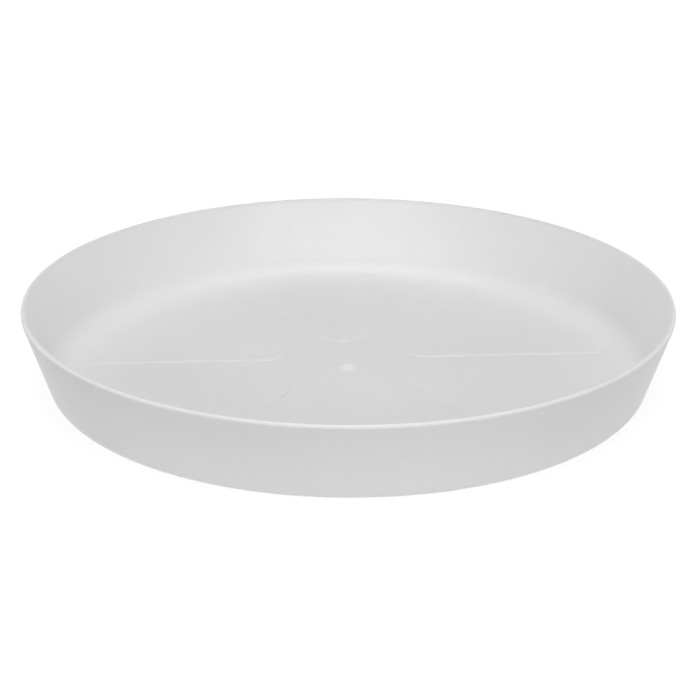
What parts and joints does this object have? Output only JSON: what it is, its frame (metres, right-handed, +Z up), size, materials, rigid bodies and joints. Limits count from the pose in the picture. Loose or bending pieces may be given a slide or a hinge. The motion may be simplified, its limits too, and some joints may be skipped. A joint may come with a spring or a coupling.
{
  "type": "plant saucer",
  "caption": "Round plant saucer: a shallow dish with a flared wall and level lip, and raised floor panels that hold a pot above a star of water channels.",
  "frame": {"origin": "middle of the face that the saucer stands on", "axes": "+Z up, out of the open side; +X and +Y lie in the table's plane, with a water channel 3.9 degrees from +X"},
  "size_m": [0.28, 0.28, 0.036],
  "materials": {
    "white_plastic": "satin translucent white"
  },
  "bodies": {
    "root": {"saucer": "white_plastic"}
  },
  "joints": []
}
